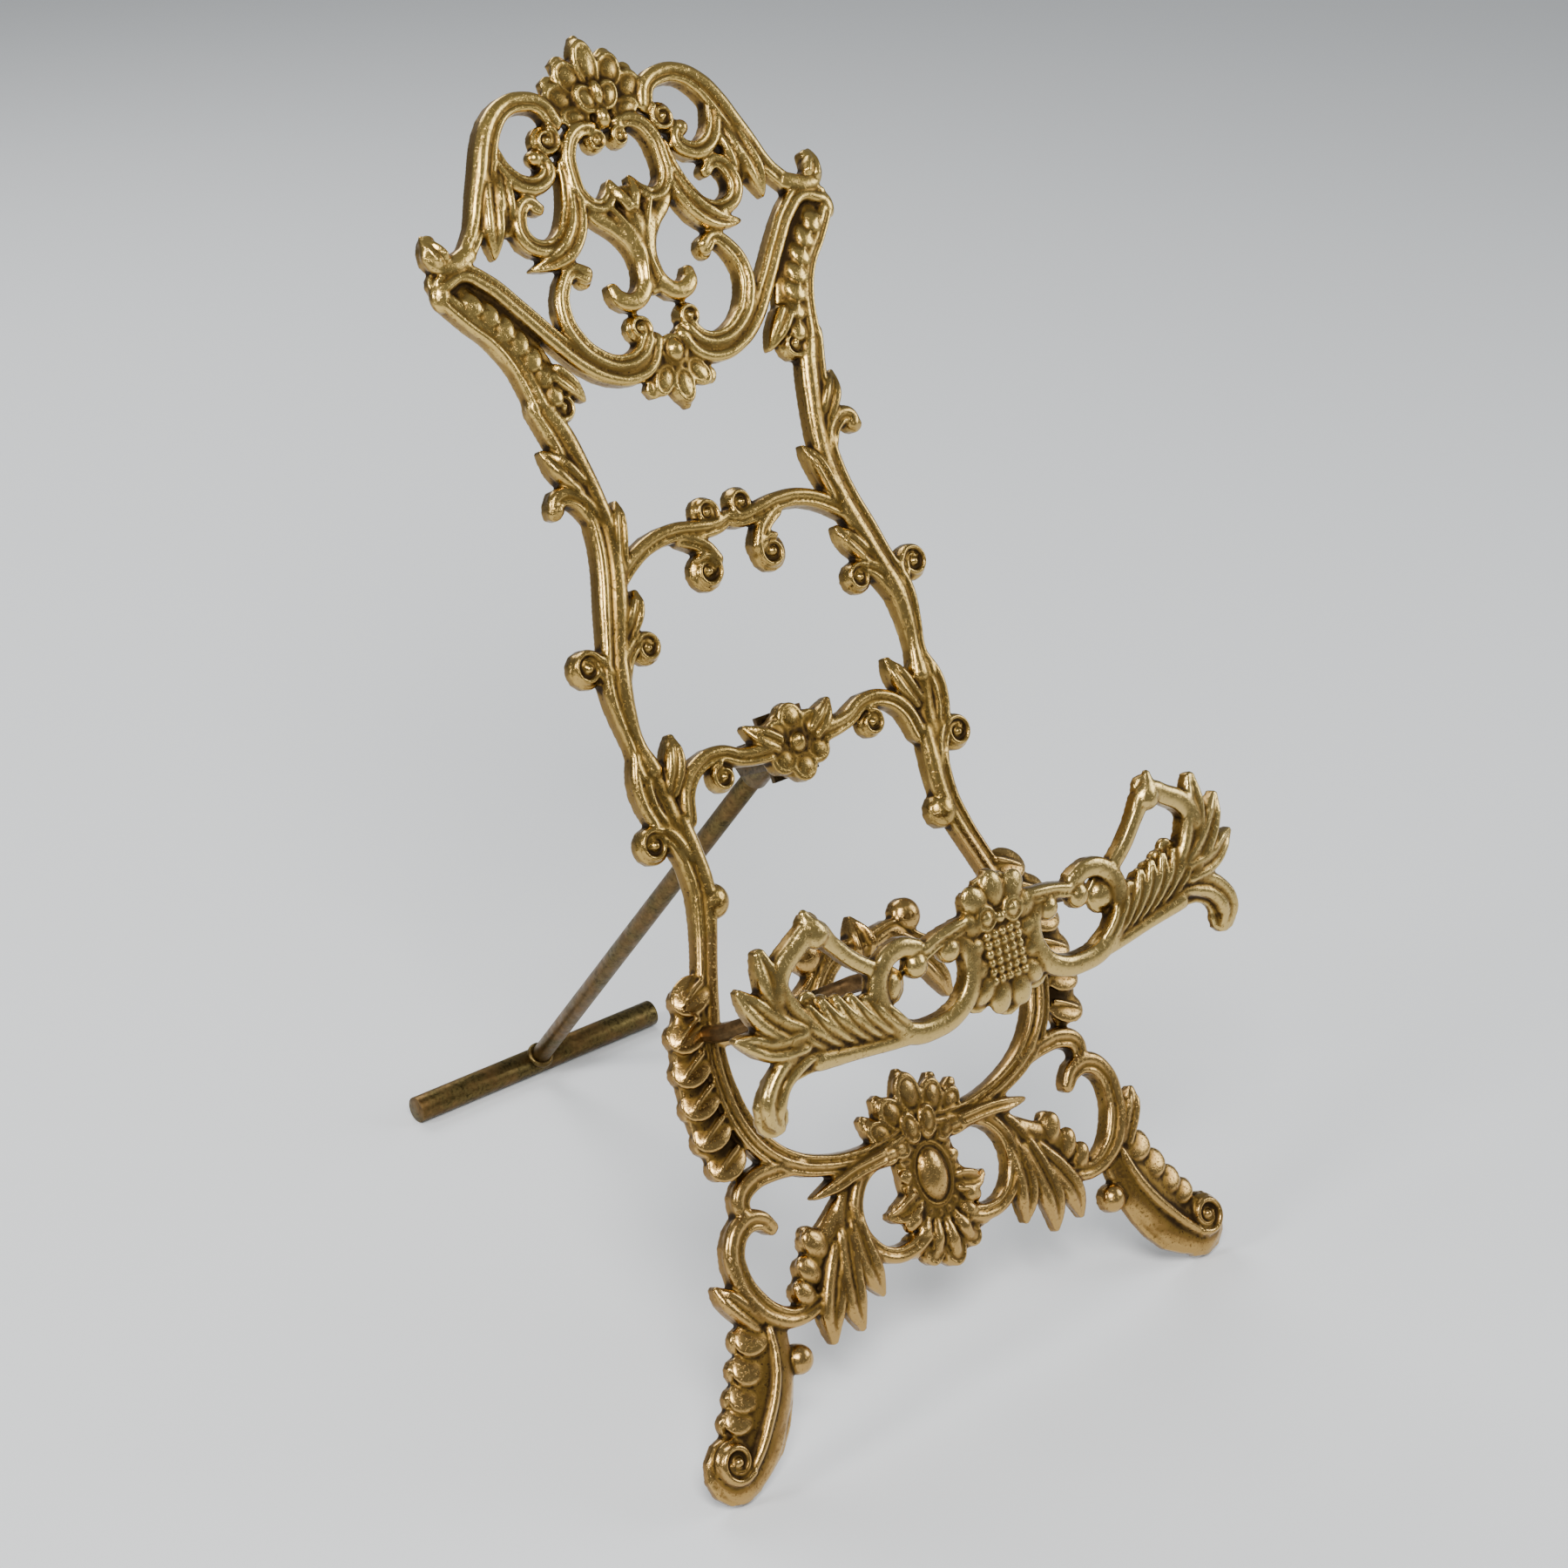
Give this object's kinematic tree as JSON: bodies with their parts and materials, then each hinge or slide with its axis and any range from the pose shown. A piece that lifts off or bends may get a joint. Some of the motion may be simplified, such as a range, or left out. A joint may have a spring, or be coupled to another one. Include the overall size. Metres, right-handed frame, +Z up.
{
  "type": "photo album stand",
  "caption": "Ornate cast-brass rococo stand for a photo album: leaning openwork frame, pierced gallery as a ledge, hinged rear strut with a T bar.",
  "frame": {"origin": "on the table, under the middle of the whole stand", "axes": "+Z up, the front with the gallery faces -Y, +X to the viewer's right"},
  "size_m": [0.1684, 0.1924, 0.2955],
  "materials": {
    "antique_brass": "cast, antiqued, highlights polished",
    "aged_bronze": "drawn rod, aged to olive brown"
  },
  "bodies": {
    "frame": {"frame": "antique_brass", "gallery": "antique_brass", "ledge_rod_left": "aged_bronze", "ledge_rod_right": "aged_bronze", "ledge_screw_left": "aged_bronze", "ledge_screw_right": "aged_bronze", "hinge_bracket": "aged_bronze", "hinge_pin": "aged_bronze", "bracket_rivet_left": "aged_bronze", "bracket_rivet_right": "aged_bronze"},
    "strut": {"strut_eye": "aged_bronze", "strut_rod": "aged_bronze", "foot_bar": "aged_bronze"}
  },
  "joints": [
    {"name": "strut_hinge", "type": "hinge", "parent": "frame", "child": "strut", "pos_m": [0, -0.01047, 0.13747], "axis": [-1, 0, 0], "range_deg": [0, 64]}
  ]
}
